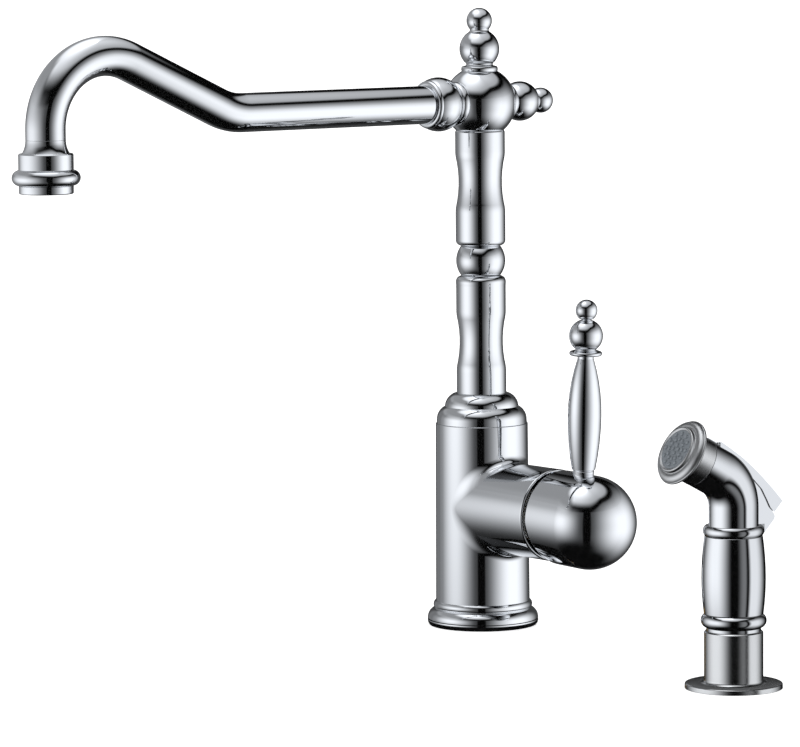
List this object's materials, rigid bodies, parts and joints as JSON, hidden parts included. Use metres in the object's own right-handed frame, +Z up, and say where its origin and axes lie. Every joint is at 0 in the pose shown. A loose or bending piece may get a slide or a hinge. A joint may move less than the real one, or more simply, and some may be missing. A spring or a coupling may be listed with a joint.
{
  "type": "kitchen faucet with side spray",
  "caption": "Chrome kitchen faucet: turned column with swivelling gooseneck spout, side lever that mixes and opens the water, and a pull-out hand spray in its own deck holder.",
  "frame": {"origin": "centre of the faucet's foot, on the face of its base ring that stands on the sink deck", "axes": "+Z up; the spout points along -Y at rest; the handle's branch and the hand spray lie towards +X"},
  "size_m": [0.3073, 0.3625, 0.4068],
  "materials": {
    "chrome": "polished chrome plate",
    "satin_nickel": "brushed nickel plate",
    "rubber": "moulded black rubber",
    "plastic": "moulded acetal",
    "nozzle_plastic": "moulded grey nozzle face",
    "ceramic": "lapped alumina ceramic",
    "brass": "turned brass",
    "steel": "stainless steel"
  },
  "bodies": {
    "base": {"base_ring": "chrome", "base_gasket": "rubber", "mounting_shank": "brass", "shank_rubber_washer": "rubber", "shank_steel_washer": "steel", "mounting_nut": "brass", "valve_body": "chrome", "valve_branch": "chrome", "branch_ring": "chrome", "bonnet": "chrome", "glide_rings": "plastic", "diverter_cage": "plastic", "cartridge_seals": "rubber", "cartridge_plate": "plastic", "cartridge_housing": "plastic", "fixed_disc": "ceramic", "cartridge_nut": "brass", "spray_holder": "satin_nickel", "holder_liner": "plastic", "spray_gasket": "rubber", "spray_shank": "brass", "spray_washer": "plastic", "spray_nut": "brass"},
    "spout": {"column_lower": "chrome", "spigot_o_rings": "rubber", "column_ball": "chrome", "column_upper": "chrome", "spout_hub": "chrome", "top_finial": "chrome", "rear_finial": "chrome", "spout_collar": "chrome", "spout_tube": "chrome", "spout_outlet": "chrome", "aerator_ring": "chrome", "aerator_screen": "plastic", "aerator_washer": "rubber"},
    "diverter": {"diverter_spool": "brass"},
    "carrier": {"cartridge_carrier": "plastic", "stem_pin": "steel"},
    "handle": {"cartridge_stem": "brass", "handle_dome": "chrome", "handle_sleeve": "brass", "handle_set_screw": "steel", "handle_lever": "chrome", "lever_knob": "chrome"},
    "mixing_disc": {"sliding_disc": "ceramic"},
    "hose_end": {"hose_coupling": "brass", "coupling_clip": "steel"},
    "wand": {"wand_base": "brass", "grip_bead": "chrome", "grip": "chrome", "grip_ring": "chrome", "spray_neck": "chrome", "trigger_pin": "steel", "spray_collar": "satin_nickel", "spray_bell": "satin_nickel", "nozzle_disc": "nozzle_plastic", "coupling_seal": "rubber"},
    "spray_trigger": {"spray_trigger": "chrome"},
    "spray_valve": {"valve_stem": "brass"}
  },
  "joints": [
    {"name": "spout_swivel", "type": "hinge", "parent": "base", "child": "spout", "pos_m": [0, 0, 0.1158], "axis": [0, 0, 1], "continuous": true},
    {"name": "diverter_lift", "type": "slide", "parent": "base", "child": "diverter", "axis": [0, 0, 1], "range_m": [0, 0.003]},
    {"name": "handle_temperature", "type": "hinge", "parent": "base", "child": "carrier", "pos_m": [0.049, 0, 0.0684], "axis": [1, 0, 0], "range_deg": [-45, 45]},
    {"name": "handle_flow", "type": "hinge", "parent": "carrier", "child": "handle", "pos_m": [0.049, 0, 0.0684], "axis": [0, 1, 0], "range_deg": [-1.5, 12.5]},
    {"name": "disc_slide", "type": "slide", "parent": "carrier", "child": "mixing_disc", "axis": [0, 0, 1], "range_m": [-0.0003, 0.0022]},
    {"name": "spray_lift", "type": "slide", "parent": "base", "child": "hose_end", "axis": [0, 0, 1], "range_m": [0, 0.08]},
    {"name": "spray_turn", "type": "hinge", "parent": "hose_end", "child": "wand", "pos_m": [0.2504, -0.0368, 0], "axis": [0, 0, 1], "continuous": true},
    {"name": "spray_trigger_press", "type": "hinge", "parent": "wand", "child": "spray_trigger", "pos_m": [0.24896, -0.04851, 0.1286], "axis": [-0.9925, 0.1219, 0], "range_deg": [0, 2], "stiffness_Nm_per_rad": 0.6, "springref_deg": -11.46},
    {"name": "spray_valve_press", "type": "slide", "parent": "wand", "child": "spray_valve", "axis": [-0.1055, -0.8596, -0.5], "range_m": [0, 0.00098]}
  ],
  "couplings": [
    {"joint": "disc_slide", "follows": "handle_flow", "m_per_rad": 0.0095},
    {"joint": "spray_valve_press", "follows": "spray_trigger_press", "m_per_rad": 0.0251}
  ]
}
